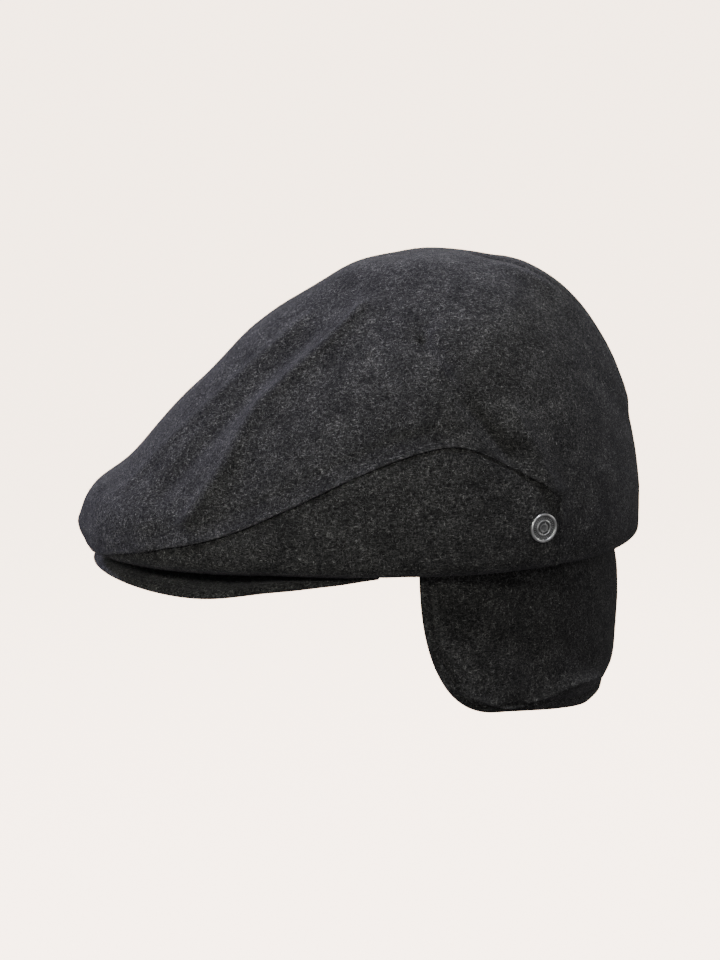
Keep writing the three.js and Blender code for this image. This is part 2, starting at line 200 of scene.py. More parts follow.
def distanceToLine(points, line):
    best = np.full(points.shape[:-1], np.inf)
    for a, b in zip(line[:-1], line[1:]):
        along = np.clip(((points - a) @ (b - a)) / max(float((b - a) @ (b - a)), 1e-12), 0, 1)
        best = np.minimum(best, np.linalg.norm(points - a - along[..., None] * (b - a), axis=-1))
    return best


def crownLine(stops):
    # a smooth line over the crown through stops of (turn, height share)
    at = np.linspace(0, len(stops) - 1, 12 * (len(stops) - 1) + 1)
    index = np.arange(len(stops), dtype=float)
    turns = np.radians(np.interp(at, index, [stop[0] for stop in stops]))
    heights = np.interp(at, index, [stop[1] for stop in stops]) * crown["height"]
    return smoothCrown(turns, placeAtHeight(turns, heights))


foldLines = [(crownLine(stops), lift * crown["wall"], spread * crown["width"])
             for stops, lift, spread in crown["folds"]]
creaseLines = [(crownLine(stops), lift * mm, spread * mm) for stops, lift, spread in crown["creases"]]
backLine = crownLine(crown["backSeam"])
seamTurns = np.radians(np.linspace(0, crown["seamTurn"], 90))
cornerTurn = seamTurns[-1]
downPlaces = np.linspace(float(seamPlace(seamTurns[-1:])[0]), 2, 14)
seamLine = np.concatenate([
    smoothCrown(seamTurns, seamPlace(seamTurns)),
    smoothCrown(np.full_like(downPlaces, cornerTurn), downPlaces),
])


def seamStrength(points):
    # 1 along the curved seam, less on its way down to the opening behind the ear
    corner = smoothCrown(seamTurns[-1:], seamPlace(seamTurns[-1:]))[0]
    behind = ease((points[..., 1] - corner[1] + crown["seamFade"]) / crown["seamFade"])
    return 1 - 0.75 * behind


def mirrored(points):
    return np.stack([np.abs(points[..., 0]), points[..., 1], points[..., 2]], axis=-1)


def crownBase(turn, place):
    point = smoothCrown(turn, place)
    near = mirrored(point)
    lift = np.zeros(point.shape[:-1])
    for line, height, spread in foldLines:
        lift = lift + height * np.exp(-(distanceToLine(near, line) / spread) ** 2)
    level = ease((2 - place) / 0.6)  # nothing moves at the opening
    return point + outward(smoothCrown, turn, place) * (lift * level)[..., None]


def ripple(points, size, height):
    # soft unevenness of cloth: the size of its waves and their height
    waves = [noise.noise(Vector(point) / size) for point in points.reshape(-1, 3)]
    return np.array(waves).reshape(points.shape[:-1]) * height


def ripples(points, waves):
    return sum(ripple(points, size, height) for size, height in waves)


def puckered(points, away, pucker):
    size, height, reach = pucker
    return ripple(points, size, height) * np.exp(-(away / reach))


def creased(turn, near):
    # the finer creases, fainter on the wearer's right, and the groove of the back seam
    side = np.where(turn > 0, 1.0, crown["rightCreases"])
    lift = np.zeros(near.shape[:-1])
    for line, height, spread in creaseLines:
        lift = lift + height * side * np.exp(-(distanceToLine(near, line) / spread) ** 2)
    away = distanceToLine(near, backLine)
    high = ease(near[..., 2] / crown["height"] * 2 - 0.6)
    groove = crown["backGroove"] * np.exp(-(away / crown["backGrooveWidth"]) ** 2)
    return lift - groove - crown["backDip"] * high * np.exp(-(away / crown["backDipWidth"]) ** 2)


def hemSwell(point):
    return crown["hemSwell"] * np.exp(-((point[..., 2] - crown["hemRise"]) / crown["hemWidth"]) ** 2)


def clearSelection():
    for thing in bpy.context.selected_objects:
        thing.select_set(False)


def activate(thing):
    clearSelection()
    thing.select_set(True)
    bpy.context.view_layer.objects.active = thing


def newGrid(name, columns, rows):
    clearSelection()
    bpy.ops.mesh.primitive_grid_add(x_subdivisions=columns, y_subdivisions=rows, size=1)
    sheet = bpy.context.active_object
    sheet.name = name
    flat = np.empty(len(sheet.data.vertices) * 3)
    sheet.data.vertices.foreach_get("co", flat)
    flat = flat.reshape(-1, 3)
    return sheet, flat[:, 0] + 0.5, 0.5 - flat[:, 1]


def setPoints(thing, points):
    thing.data.vertices.foreach_set("co", np.ascontiguousarray(points, dtype=np.float32).ravel())
    thing.data.update()


def joinPieces(pieces, weld):
    activate(pieces[0])
    for piece in pieces[1:]:
        piece.select_set(True)
    if len(pieces) > 1:
        bpy.ops.object.join()
    bpy.ops.object.mode_set(mode="EDIT")
    bpy.ops.mesh.select_all(action="SELECT")
    bpy.ops.mesh.remove_doubles(threshold=weld)
    bpy.ops.mesh.dissolve_degenerate(threshold=weld / 10)
    bpy.ops.mesh.select_all(action="DESELECT")
    bpy.ops.object.mode_set(mode="OBJECT")
    return bpy.context.active_object


def thicken(sheet, wall, edge, steps=3):
    # gives the sheet its wall, inwards, and rounds its rim
    activate(sheet)
    solid = sheet.modifiers.new("wall", "SOLIDIFY")
    solid.thickness = wall
    solid.offset = -1
    solid.use_even_offset = False
    bpy.ops.object.modifier_apply(modifier="wall")
    rounded = sheet.modifiers.new("edge", "BEVEL")
    rounded.width = edge
    rounded.segments = steps
    rounded.limit_method = "ANGLE"
    rounded.angle_limit = math.radians(55)
    bpy.ops.object.modifier_apply(modifier="edge")
    bpy.ops.object.shade_smooth()


topPanel = {
    "backColumns": 84,
    "rows": 100,
    "backRows": 34,
    "sideShare": 0.6,  # of the columns' run, from the front to the side seam
    "lipHeight": 0.95 * mm,  # how far the turned edge stands over the side panel
    "lipWidth": 2.6 * mm,
    "pullDepth": 0.35 * mm,  # the cloth sinks a little behind its turned edge
    "pullWidth": 8 * mm,
    # size and height of each ripple, and of the puckers with how far they reach from the seam
    "waves": [(42 * mm, 0.9 * mm), (14 * mm, 0.22 * mm)],
    "pucker": (7 * mm, 0.45 * mm, 9 * mm),
    "edge": 0.55 * mm,
    # powers that crowd the mesh towards the seams
    "rearSpacing": 1.6,
    "rowSpacing": 1.5,
    "backSpacing": 1.3,
}


def topShape(turn, place):
    point = crownBase(turn, place)
    facing = outward(crownBase, turn, place)
    near = mirrored(smoothCrown(turn, place))
    away = distanceToLine(near, seamLine)
    lip = topPanel["lipHeight"] * np.exp(-(away / topPanel["lipWidth"]) ** 2) * seamStrength(near)
    pull = topPanel["pullDepth"] * np.exp(-((away - topPanel["pullWidth"]) / topPanel["lipWidth"]) ** 2)
    wave = ripples(point, topPanel["waves"])
    pucker = puckered(point, away, topPanel["pucker"]) + hemSwell(point)
    level = ease((2 - place) / 0.3)
    return point + facing * ((lip - pull + wave + pucker + creased(turn, near)) * level)[..., None]


def makeTopPanel():
    share = topPanel["sideShare"]
    corner = math.radians(crown["seamTurn"])

    def ringTurn(u):
        run = np.abs(2 * u - 1)
        side = run / share
        back = (run - share) / (1 - share)
        rear = 1 - (1 - np.clip(back, 0, 1)) ** topPanel["rearSpacing"]
        turn = np.where(run <= share, corner * side, corner + (math.pi - corner) * rear)
        return np.sign(2 * u - 1) * turn

    columns = 2 * round(topPanel["backColumns"] / (1 - share))
    ring, u, v = newGrid("top_panel_wool", columns, topPanel["rows"])
    turn = ringTurn(u)
    place = seamPlace(turn) * (1 - (1 - v) ** topPanel["rowSpacing"])
    setPoints(ring, topShape(turn, place))
    pieces = [ring]
    for side in (-1, 1):
        back, u, v = newGrid("back", topPanel["backColumns"], topPanel["backRows"])
        start = share + (1 - share) * u if side > 0 else 1 - (1 - share) * u
        turn = ringTurn(0.5 + side * start / 2)
        seam = seamPlace(turn)
        down = 1 - (1 - v) ** topPanel["backSpacing"]
        setPoints(back, topShape(turn, seam + (2 - seam) * down))
        pieces.append(back)
    panel = joinPieces(pieces, 0.02 * mm)
    thicken(panel, crown["wall"], topPanel["edge"])
    return panel


sidePanel = {
    "columns": 260,
    "rows": 64,
    "sink": 0.35 * mm,  # how far it dips under the top panel's edge
    "sinkWidth": 3 * mm,
    "overlap": 0.2 * mm,  # how much nearer its edge lies to the top panel's than in the solids
    "waves": [(38 * mm, 0.7 * mm), (13 * mm, 0.22 * mm)],
    "pucker": (8 * mm, 0.3 * mm, 8 * mm),
    "columnSpacing": 1.15,
    "edge": 0.55 * mm,
}


def sideShape(turn, place):
    point = crownBase(turn, place)
    facing = outward(crownBase, turn, place)
    near = mirrored(smoothCrown(turn, place))
    away = distanceToLine(near, seamLine)
    sink = sidePanel["sink"] * np.exp(-(away / sidePanel["sinkWidth"]) ** 2) * seamStrength(near)
    wave = ripples(point, sidePanel["waves"])
    pucker = puckered(point, away, sidePanel["pucker"])
    level = ease((2 - place) / 0.3)
    lift = wave + pucker - sink + hemSwell(point) + creased(turn, near)
    return point + facing * (lift * level)[..., None]


def makeSidePanel(name, side):
    panel, u, v = newGrid(name, sidePanel["columns"], sidePanel["rows"])
    inset = (crown["seamGap"] - 2 * sidePanel["overlap"]) / (crown["width"] / 2)
    start = crown["seamGap"] / 2 / crown["noseReach"]
    end = math.radians(crown["seamTurn"]) - inset
    run = u if side > 0 else 1 - u
    turn = side * (start + (end - start) * run ** sidePanel["columnSpacing"])
    seam = seamPlace(turn)
    step = 0.01
    stretch = np.linalg.norm(smoothCrown(turn, seam + step) - smoothCrown(turn, seam), axis=-1) / step
    first = seam + (crown["seamGap"] - sidePanel["overlap"]) / stretch
    setPoints(panel, sideShape(turn, first + (2 - first) * v))
    thicken(panel, crown["wall"], sidePanel["edge"])
    return panel


brim = {
    "depth": 61.5 * mm,
    "turn": 70,
    "thickness": 4 * mm,
    "droop": 6.8 * mm,
    "columns": 220,
    "archColumns": ("turn", "drop"),
    "arch": [(0, 0.28), (0.17, 0.47), (0.32, 0.86), (0.48, 1), (0.66, 0.42), (0.87, 0.09), (1, 0)],
    "straight": 26,  # points along each face
    "round": 9,  # points round each edge
    "seamIn": 3.2 * mm,  # the line of the edge seam from the rim
    "seamDepth": 0.45 * mm,
    "seamWidth": 0.7 * mm,
    "outline": (1.7, 1.9),  # powers of the crescent
    "thinning": 0.75,  # how much of its thickness it loses at its two ends
    "wave": (18 * mm, 0.25 * mm),
}


def makeBrim():
    straight, around = brim["straight"], brim["round"]
    steps = []  # the section's loop: share across the width, and up or down in half thicknesses
    for k in range(straight):
        steps.append((k / straight, 1.0, 0.0))
    for k in range(around):
        angle = math.pi * k / around
        steps.append((1.0, math.cos(angle), math.sin(angle)))
    for k in range(straight):
        steps.append((1 - k / straight, -1.0, 0.0))
    for k in range(around):
        angle = math.pi * k / around
        steps.append((0.0, -math.cos(angle), -0.35 * math.sin(angle)))
    steps.append(steps[0])
    sheet, u, v = newGrid("brim_wool", brim["columns"], len(steps) - 1)
    table = np.array(steps)[np.rint(v * (len(steps) - 1)).astype(int)]
    across = 1 - 2 * u
    along = np.abs(across)
    turn = across * math.radians(brim["turn"])
    start = openingReach(turn)
    width = crown["wall"] + brim["depth"] * (1 - along ** brim["outline"][0]) ** brim["outline"][1]
    half = brim["thickness"] / 2 * (1 - brim["thinning"] * along ** 6)
    inner = width - half
    reach = start + inner * table[:, 0] + half * table[:, 2]
    out = (reach - start) / width
    xs, ys = column(brim["archColumns"], brim["arch"], "drop")
    drop = follow(xs, ys, along) * brim["droop"]
    fromRim = width - (reach - start)
    crease = brim["seamDepth"] * np.exp(-((fromRim - brim["seamIn"]) / brim["seamWidth"]) ** 2)
    middle = -crown["seamGap"] - half - drop * np.clip(out, 0, 1)
    height = middle + half * table[:, 1] * (1 - crease / brim["thickness"] * 2)
    points = np.stack([reach * np.sin(turn), crown["peakBehind"] - reach * np.cos(turn), height], axis=-1)
    points[:, 2] -= (ripple(points, *brim["wave"]) + brim["wave"][1]) * ease(out * 2)
    setPoints(sheet, points)
    solid = joinPieces([sheet], 0.01 * mm)
    bpy.ops.object.mode_set(mode="EDIT")
    bpy.ops.mesh.select_all(action="DESELECT")
    bpy.ops.mesh.select_non_manifold()
    bpy.ops.mesh.fill_holes(sides=0)
    bpy.ops.mesh.select_all(action="SELECT")
    bpy.ops.mesh.normals_make_consistent(inside=False)
    bpy.ops.object.mode_set(mode="OBJECT")
    bpy.ops.object.shade_smooth_by_angle(angle=math.radians(50))
    return solid


flap = {
    "depth": 69.5 * mm,
    "tuck": 9 * mm,
    "wall": 2.6 * mm,
    "nap": 0.4 * mm,  # how much thicker the soft cloth is than the solid's wall
    "cut": (280 * mm, 79 * mm),  # the cloth before it was sewn on
    "puff": 1.6 * mm,
    "band": 9 * mm,
    "turn": 91.4,
    "corner": 25,  # degrees that the front edge has moved back by the bottom
    "cornerPower": 2.5,
    "lean": 3.5 * mm,
    "curl": 3 * mm,
    "hemColumns": ("turn", "depth", "band", "crease"),
    # depth and band as shares of the two sizes above and below; crease in mm above the hem
    "hem": [
        (0, 0.985, 1, 15), (100, 0.985, 1, 14), (106, 0.985, 1, 9.5), (112, 0.985, 1, 5.5),
        (118, 0.99, 1, 2.8), (128.5, 1.015, 1.1, 7.5), (138.5, 1.038, 1.4, 12.5), (153, 1.06, 2, 14.5),
        (180, 1.01, 2.4, 16),
    ],
    "columns": 340,
    "rows": 110,
    "rowSpacing": 1.25,
    # the fold low on the flap: its ridge, the sink under it, and the widths of its two flanks
    "foldRise": 4.6 * mm,
    "foldUnder": 0.8 * mm,
    "foldTurn": 1.5 * mm,
    "foldWidth": 3.8 * mm,
    "foldFrom": 98,  # where it starts and ends, in degrees of turn
    "foldTo": 164,
    "foldUnderTo": 158,
    "stitchIn": 4.6 * mm,
    "stitchGroove": 1.0 * mm,
    "stitchWidth": 0.9 * mm,
    "waves": [(30 * mm, 1.1 * mm), (11 * mm, 0.3 * mm)],
    "edge": 1.1 * mm,
}


def flapShape(share, down):
    # share runs round from the left front edge to the right one, down from the opening to the hem
    below = np.maximum(down, 0)
    power = flap["cornerPower"]
    cornered = 1 - (1 - below ** power) ** (1 / power)
    front = math.radians(flap["turn"]) + math.radians(flap["corner"]) * cornered
    turn = front + (2 * math.pi - 2 * front) * share
    side = np.minimum(turn, 2 * math.pi - turn)
    degrees = np.degrees(side)
    halfWidth = crown["openingWidth"] / 2 - crown["seamGap"]
    halfLength = crown["openingLength"] / 2 - crown["seamGap"]
    hem = {name: follow(*column(flap["hemColumns"], flap["hem"], name), degrees)
           for name in ("depth", "band", "crease")}
    depth = flap["depth"] * hem["depth"]
    toFront = (side - front) * halfWidth
    toHem = (1 - below) * depth
    toEdge = np.minimum(toFront, toHem)
    fromEdge = np.minimum(toFront, toHem / hem["band"])
    puff = flap["puff"] * ease(fromEdge / flap["band"]) * ease(below / 0.25)
    # the body rises to a ridge above the hem and turns sharply back in below it
    toCrease = toHem - hem["crease"] * mm
    turned = ease(toCrease / flap["foldTurn"] + 1)
    rise = flap["foldRise"] * np.exp(-np.maximum(toCrease, 0) / flap["foldWidth"]) * turned
    under = flap["foldUnder"] * (1 - turned) * ease((flap["foldUnderTo"] - degrees) / 20)
    ends = ease((degrees - flap["foldFrom"]) / 8) * ease((flap["foldTo"] - degrees) / 18)
    puff = puff + (rise - under) * ends
    lean = flap["curl"] * ease((down - 0.8) / 0.2) + flap["lean"] * below ** 2
    stitch = np.exp(-((toEdge - flap["stitchIn"]) / flap["stitchWidth"]) ** 2)
    groove = flap["stitchGroove"] * stitch * ease(below / 0.06)
    facing = np.stack([np.sin(turn) / halfWidth, -np.cos(turn) / halfLength, np.zeros_like(turn)], axis=-1)
    facing /= np.linalg.norm(facing, axis=-1, keepdims=True)
    height = np.where(down < 0, -down * flap["depth"], -down * depth)
    point = np.stack([np.sin(turn) * halfWidth, -np.cos(turn) * halfLength, height], axis=-1)
    wave = ripples(point, flap["waves"]) * ease(below / 0.3)
    return point + facing * (puff - lean - groove + wave)[..., None]


def makeFlap():
    sheet, u, v = newGrid("ear_flap_wool", flap["columns"], flap["rows"])
    top = -flap["tuck"] / flap["depth"]
    down = top + (1 - top) * (1 - (1 - v) ** flap["rowSpacing"])
    share = 0.4 * u + 0.6 * (1 - np.cos(u * math.pi)) / 2  # closer columns at the two front edges
    setPoints(sheet, flapShape(share, np.clip(down, None, 1)))
    thicken(sheet, flap["wall"] + flap["nap"], flap["edge"], 4)
    return sheet


badge = {
    "diameter": 13.5 * mm,
    "height": 1.5 * mm,
    "turn": 118.6,
    "rise": 20.7 * mm,
    "standOff": 0.45 * mm,
    "post": 3 * mm,
    "flange": 7 * mm,
    "flangeHeight": 0.8 * mm,
    "sides": 180,
    # the face from its flat middle outwards: share of the radius, share of the height
    "face": [
        (0.2, 0.6), (0.24, 0.7), (0.28, 0.7), (0.32, 0.6), (0.42, 0.6), (0.46, 0.8), (0.5, 0.83),
        (0.54, 0.72), (0.58, 0.55), (0.63, 0.55), (0.67, 0.55), (0.71, 0.55), (0.75, 0.55), (0.79, 0.58),
        (0.83, 0.8), (0.87, 0.98), (0.92, 1.02), (0.97, 0.9), (1.0, 0.66), (1.0, 0.12), (0.985, 0.0),
    ],
    "edge": 0.06 * mm,
    "beads": 30,  # small bumps in the sunken ring
    "beadHeight": 0.1 * mm,
    "beadRing": (0.6, 0.78),  # shares of the radius
}


def badgeSeat():
    turn = np.array([math.radians(badge["turn"])])
    place = placeAtHeight(turn, badge["rise"])
    facing = Vector(outward(crownBase, turn, place)[0])
    spot = Vector(crownBase(turn, place)[0])
    return Matrix.Translation(spot) @ facing.to_track_quat("Z", "Y").to_matrix().to_4x4()


def makeBadge():
    clearSelection()
    radius = badge["diameter"] / 2
    bpy.ops.mesh.primitive_circle_add(vertices=badge["sides"], radius=radius, fill_type="NOTHING")
    disc = bpy.context.active_object
    disc.name = "badge_metal"
    low = badge["standOff"]
    flangeTop = -crown["wall"] - badge["standOff"]
    steps = [(share * radius, low + height * badge["height"]) for share, height in badge["face"]]
    steps += [(badge["post"] / 2, low), (badge["post"] / 2, flangeTop), (badge["flange"] / 2, flangeTop),
              (badge["flange"] / 2, flangeTop - badge["flangeHeight"])]
    first = steps[0]
    bpy.ops.object.mode_set(mode="EDIT")
    bpy.ops.mesh.select_all(action="SELECT")
    scale = first[0] / radius
    bpy.ops.transform.resize(value=(scale, scale, 1))
    bpy.ops.transform.translate(value=(0, 0, first[1]))
    for (r0, z0), (r1, z1) in zip(steps[:-1], steps[1:]):
        bpy.ops.mesh.extrude_region_move(TRANSFORM_OT_translate={"value": (0, 0, z1 - z0)})
        bpy.ops.transform.resize(value=(r1 / r0, r1 / r0, 1), center_override=(0, 0, z1))
    bpy.ops.mesh.select_all(action="DESELECT")
    bpy.ops.mesh.select_non_manifold()
    bpy.ops.mesh.fill_holes(sides=0)
    bpy.ops.mesh.select_all(action="SELECT")
    bpy.ops.mesh.normals_make_consistent(inside=False)
    bpy.ops.object.mode_set(mode="OBJECT")
    rounded = disc.modifiers.new("edge", "BEVEL")
    rounded.width = badge["edge"]
    rounded.segments = 2
    rounded.limit_method = "ANGLE"
    rounded.angle_limit = math.radians(35)
    bpy.ops.object.modifier_apply(modifier="edge")
    inner, outer = badge["beadRing"]
    for vertex in disc.data.vertices:
        share = vertex.co.xy.length / radius
        if vertex.co.z > low and inner < share < outer:
            around = math.atan2(vertex.co.y, vertex.co.x)
            fade = 1 - abs(share - (inner + outer) / 2) / ((outer - inner) / 2)
            vertex.co.z += badge["beadHeight"] * math.cos(around * badge["beads"]) * fade
    disc.data.transform(badgeSeat())
    bpy.ops.object.shade_smooth_by_angle(angle=math.radians(40))
    return disc


class Value:
    # a socket that adds its Math nodes when it is used in an expression
    def __init__(self, maker, socket):
        self.maker = maker
        self.socket = socket

    def combine(self, operation, other, swap=False):
        values = [other, self] if swap else [self, other]
        return self.maker.node("ShaderNodeMath", {"operation": operation}, {0: values[0], 1: values[1]})

    def __add__(self, other):
        return self.combine("ADD", other)

    def __radd__(self, other):
        return self.combine("ADD", other, True)

    def __sub__(self, other):
        return self.combine("SUBTRACT", other)

    def __rsub__(self, other):
        return self.combine("SUBTRACT", other, True)

    def __mul__(self, other):
        return self.combine("MULTIPLY", other)

    def __rmul__(self, other):
        return self.combine("MULTIPLY", other, True)


class Finish:
    # one material and the nodes in it
    def __init__(self, name):
        self.material = bpy.data.materials.new(name)
        self.material.use_nodes = True
        self.nodes = self.material.node_tree.nodes
        self.links = self.material.node_tree.links
        self.shader = self.nodes["Principled BSDF"]

    def node(self, kind, settings=None, inputs=None, output=0):
        made = self.nodes.new(kind)
        for key, value in (settings or {}).items():
            if key == "stops":
                ramp = made.color_ramp
                while len(ramp.elements) > 1:
                    ramp.elements.remove(ramp.elements[0])
                for k, (at, colour) in enumerate(value):
                    stop = ramp.elements[0] if k == 0 else ramp.elements.new(at)
                    stop.position = at
                    stop.color = (*colour, 1)
            else:
                setattr(made, key, value)
        for key, value in (inputs or {}).items():
            if isinstance(value, Value):
                self.links.new(value.socket, made.inputs[key])
            else:
                made.inputs[key].default_value = value
        return Value(self, made.outputs[output])

    def feed(self, name, value):
        if isinstance(value, Value):
            self.links.new(value.socket, self.shader.inputs[name])
        else:
            self.shader.inputs[name].default_value = value


fuzz = {
    "along": 150,
    "across": 300,  # there are along times across fibres
    "length": (1.0 * mm, 2.5 * mm),
    "width": (0.05 * mm, 0.085 * mm),
    "lift": (0.1 * mm, 0.6 * mm),
    "bend": 0.35,  # how far the middle strays sideways, as a share of the length
    "middle": (0, 0, 30 * mm),  # the outer faces look away from here
    "seed": 11,
    "taper": 0.6,  # its breadth at the tip, half of that at the root
    "rootLift": 0.05,  # the share of its lift that it has at the root
    "grey": (0.03, 0.16),
    "patches": 350,  # noise cells a metre in its grey
}


def outerFaces(pieces):
    # the middles, normals and areas of the faces that look away from the head
    found = []
    for piece in pieces:
        faces = piece.data.polygons
        middles, normals, areas = np.empty((len(faces), 3)), np.empty((len(faces), 3)), np.empty(len(faces))
        for name, values in (("center", middles), ("normal", normals), ("area", areas)):
            faces.foreach_get(name, values.ravel())
        away = ((middles - fuzz["middle"]) * normals).sum(axis=1) > 0
        found.append((middles[away], normals[away], areas[away]))
    return [np.concatenate([part[k] for part in found]) for k in range(3)]


def makeFuzz(pieces):
    # each fibre is a ribbon of two faces, three points long and two wide
    along, across = fuzz["along"], fuzz["across"]
    ribbons, u, v = newGrid("wool_fuzz", 3 * along - 1, 2 * across - 1)
    column = np.rint(u * (3 * along - 1)).astype(int)
    row = np.rint(v * (2 * across - 1)).astype(int)
    fibre = column // 3 + along * (row // 2)
    corners = np.empty(len(ribbons.data.polygons) * 4, dtype=np.int32)
    ribbons.data.polygons.foreach_get("vertices", corners)
    owners = fibre[corners.reshape(-1, 4)]
    spare = owners.min(axis=1) != owners.max(axis=1)

    middles, normals, areas = outerFaces(pieces)
    chance = np.random.default_rng(fuzz["seed"])
    count = along * across
    chosen = chance.choice(len(areas), count, p=areas / areas.sum())
    normal = normals[chosen]
    first = np.cross(normal, chance.normal(size=(count, 3)))
    first /= np.linalg.norm(first, axis=1, keepdims=True)
    aside = np.cross(normal, first)
    stray = np.sqrt(areas[chosen]) * chance.uniform(-0.5, 0.5, count)
    root = middles[chosen] + (first + aside) * stray[:, None]
    length = chance.uniform(*fuzz["length"], count)
    width = chance.uniform(*fuzz["width"], count)
    lift = chance.uniform(*fuzz["lift"], count)
    bend = chance.uniform(-fuzz["bend"], fuzz["bend"], count) * length
    step = (column % 3)[:, None] / 2
    side = (row % 2)[:, None] - 0.5
    arch = 4 * step * (1 - step)
    breadth = side * (2 * fuzz["taper"] - fuzz["taper"] * step)
    aloft = fuzz["rootLift"] + (1 - fuzz["rootLift"]) * step
    point = (root[fibre] + first[fibre] * length[fibre, None] * step
             + aside[fibre] * (bend[fibre, None] * arch + width[fibre, None] * breadth)
             + normal[fibre] * lift[fibre, None] * aloft)
    setPoints(ribbons, point)
    # the faces between two fibres are taken away
    for parts in (ribbons.data.vertices, ribbons.data.edges):
        parts.foreach_set("select", np.zeros(len(parts), dtype=bool))
    ribbons.data.polygons.foreach_set("select", spare)
    activate(ribbons)
    bpy.context.tool_settings.mesh_select_mode = (False, False, True)
    bpy.ops.object.mode_set(mode="EDIT")
    bpy.ops.mesh.delete(type="FACE")
    bpy.ops.object.mode_set(mode="OBJECT")
    return ribbons


wool = {
    "dark": (0.003, 0.003, 0.0033),
    "middle": (0.027, 0.0268, 0.0268),
    "light": (0.19, 0.19, 0.185),
    "sheen": 0.065,
    "sheenTint": (0.58, 0.57, 0.68, 1),
    "sheenRoughness": 0.5,
    "specular": 0.1,
    # sizes of the noises, in cells a metre
    "fleck": 1450,
    "cloud": 75,
    "kink": 260,
    "felt": 420,
    "cloudShare": 0.15,
    "kinkReach": 2.2 * mm,  # how far the fibres' pattern is bent
    "bumpHeight": 1.3 * mm,
    # the directions of the fibres: a turn in radians and the stretch along each axis
    "strands": [
        ((0.3, 0.2, 0.5), (1, 0.25, 1)), ((1.2, 0.9, 2.1), (0.25, 1, 1)),
        ((2.2, 1.7, 0.4), (1, 1, 0.25)), ((0.8, 2.6, 1.1), (1, 0.3, 1)),
    ],
    "roughness": 0.92,
}


def woolFinish(name, paintedShadeFactor=1.0):
    finish = Finish(name)
    where = finish.node("ShaderNodeTexCoord", output=3)
    cloudy = finish.node("ShaderNodeTexNoise", {}, {
        "Vector": where, "Scale": wool["cloud"], "Detail": 3, "Roughness": 0.6})
    kinks = finish.node("ShaderNodeTexNoise", {}, {
        "Vector": where, "Scale": wool["kink"], "Detail": 2}, output=1)
    shift = finish.node("ShaderNodeVectorMath", {"operation": "SCALE"}, {0: kinks, "Scale": wool["kinkReach"]})
    bent = finish.node("ShaderNodeVectorMath", {"operation": "ADD"}, {0: where, 1: shift})
    fibres = None
    for turn, stretch in wool["strands"]:
        mapped = finish.node("ShaderNodeMapping", {}, {"Vector": bent, "Rotation": turn, "Scale": stretch})
        strand = finish.node("ShaderNodeTexNoise", {}, {
            "Vector": mapped, "Scale": wool["fleck"], "Detail": 3, "Roughness": 0.65})
        fibres = strand if fibres is None else finish.node(
            "ShaderNodeMath", {"operation": "MAXIMUM"}, {0: fibres, 1: strand})
    tone = fibres + (cloudy - 0.5) * wool["cloudShare"]
    colour = finish.node("ShaderNodeValToRGB", {"stops": [
        (0.50, wool["dark"]), (0.565, tuple(c * 0.6 for c in wool["middle"])), (0.62, wool["middle"]),
        (0.68, tuple(c * 2.6 for c in wool["middle"])), (0.77, wool["light"]),
    ]}, {0: tone})
    # a factor below 1 darkens the whole colour: painted shade for a piece that sits in shadow
    shade = finish.node("ShaderNodeMix", {"data_type": "RGBA", "blend_type": "MULTIPLY"}, {
        0: 1.0, 6: colour, 7: (paintedShadeFactor, paintedShadeFactor, paintedShadeFactor, 1)}, output=2)
    finish.feed("Base Color", shade)
    finish.feed("Roughness", wool["roughness"])
    finish.feed("Specular IOR Level", wool["specular"])
    finish.feed("Sheen Weight", wool["sheen"])
    finish.feed("Sheen Tint", wool["sheenTint"])
    finish.feed("Sheen Roughness", wool["sheenRoughness"])
    felt = finish.node("ShaderNodeTexNoise", {}, {
        "Vector": bent, "Scale": wool["felt"], "Detail": 4, "Roughness": 0.62})
    bump = finish.node("ShaderNodeBump", {}, {
        "Strength": 1.0, "Distance": wool["bumpHeight"], "Height": fibres * 0.6 + felt * 0.5})
    finish.feed("Normal", bump)
    return finish.material


def fibreFinish():
    finish = Finish("wool_fibres")
    where = finish.node("ShaderNodeTexCoord", output=3)
    shade = finish.node("ShaderNodeTexNoise", {}, {"Vector": where, "Scale": fuzz["patches"], "Detail": 1})
    grey = finish.node("ShaderNodeValToRGB", {"stops": [
        (0.4, (fuzz["grey"][0],) * 3), (0.65, (fuzz["grey"][1],) * 3)]}, {0: shade})
    finish.feed("Base Color", grey)
    finish.feed("Roughness", wool["roughness"])
    finish.feed("Specular IOR Level", wool["specular"])
    return finish.material


metal = {
    "bright": (0.23, 0.235, 0.24),
    "dull": (0.06, 0.06, 0.06),
    "worn": (0.42, 0.42, 0.43),
    "roughness": 0.24,
    "stain": 420,  # noise cells a metre, as for the scratches
    "scratches": 2600,
    "scratchDepth": 0.1 * mm,
}


def metalFinish():
    finish = Finish("aged_metal")
    where = finish.node("ShaderNodeTexCoord", output=3)
    stain = finish.node("ShaderNodeTexNoise", {}, {
        "Vector": where, "Scale": metal["stain"], "Detail": 5, "Roughness": 0.62})
    worn = finish.node("ShaderNodeNewGeometry", output=7)
    edge = finish.node("ShaderNodeMapRange", {}, {"Value": worn, "From Min": 0.47, "From Max": 0.55})
    mask = edge * 0.6 + stain * 0.6
    colour = finish.node("ShaderNodeValToRGB", {"stops": [
        (0.25, metal["dull"]), (0.62, metal["bright"]), (0.85, metal["worn"])]}, {0: mask})
    finish.feed("Base Color", colour)
    finish.feed("Metallic", 1.0)
    finish.feed("Roughness", stain * 0.3 + metal["roughness"])
    scratches = finish.node("ShaderNodeTexNoise", {}, {
        "Vector": where, "Scale": metal["scratches"], "Detail": 2})
    finish.feed("Normal", finish.node("ShaderNodeBump", {}, {
        "Strength": 0.25, "Distance": metal["scratchDepth"], "Height": scratches}))
    return finish.material


def dress(piece, material, slot, *nodes):
    piece.data.materials.clear()
    piece.data.materials.append(material)
    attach(piece, "root")
    if nodes:
        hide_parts(*nodes)


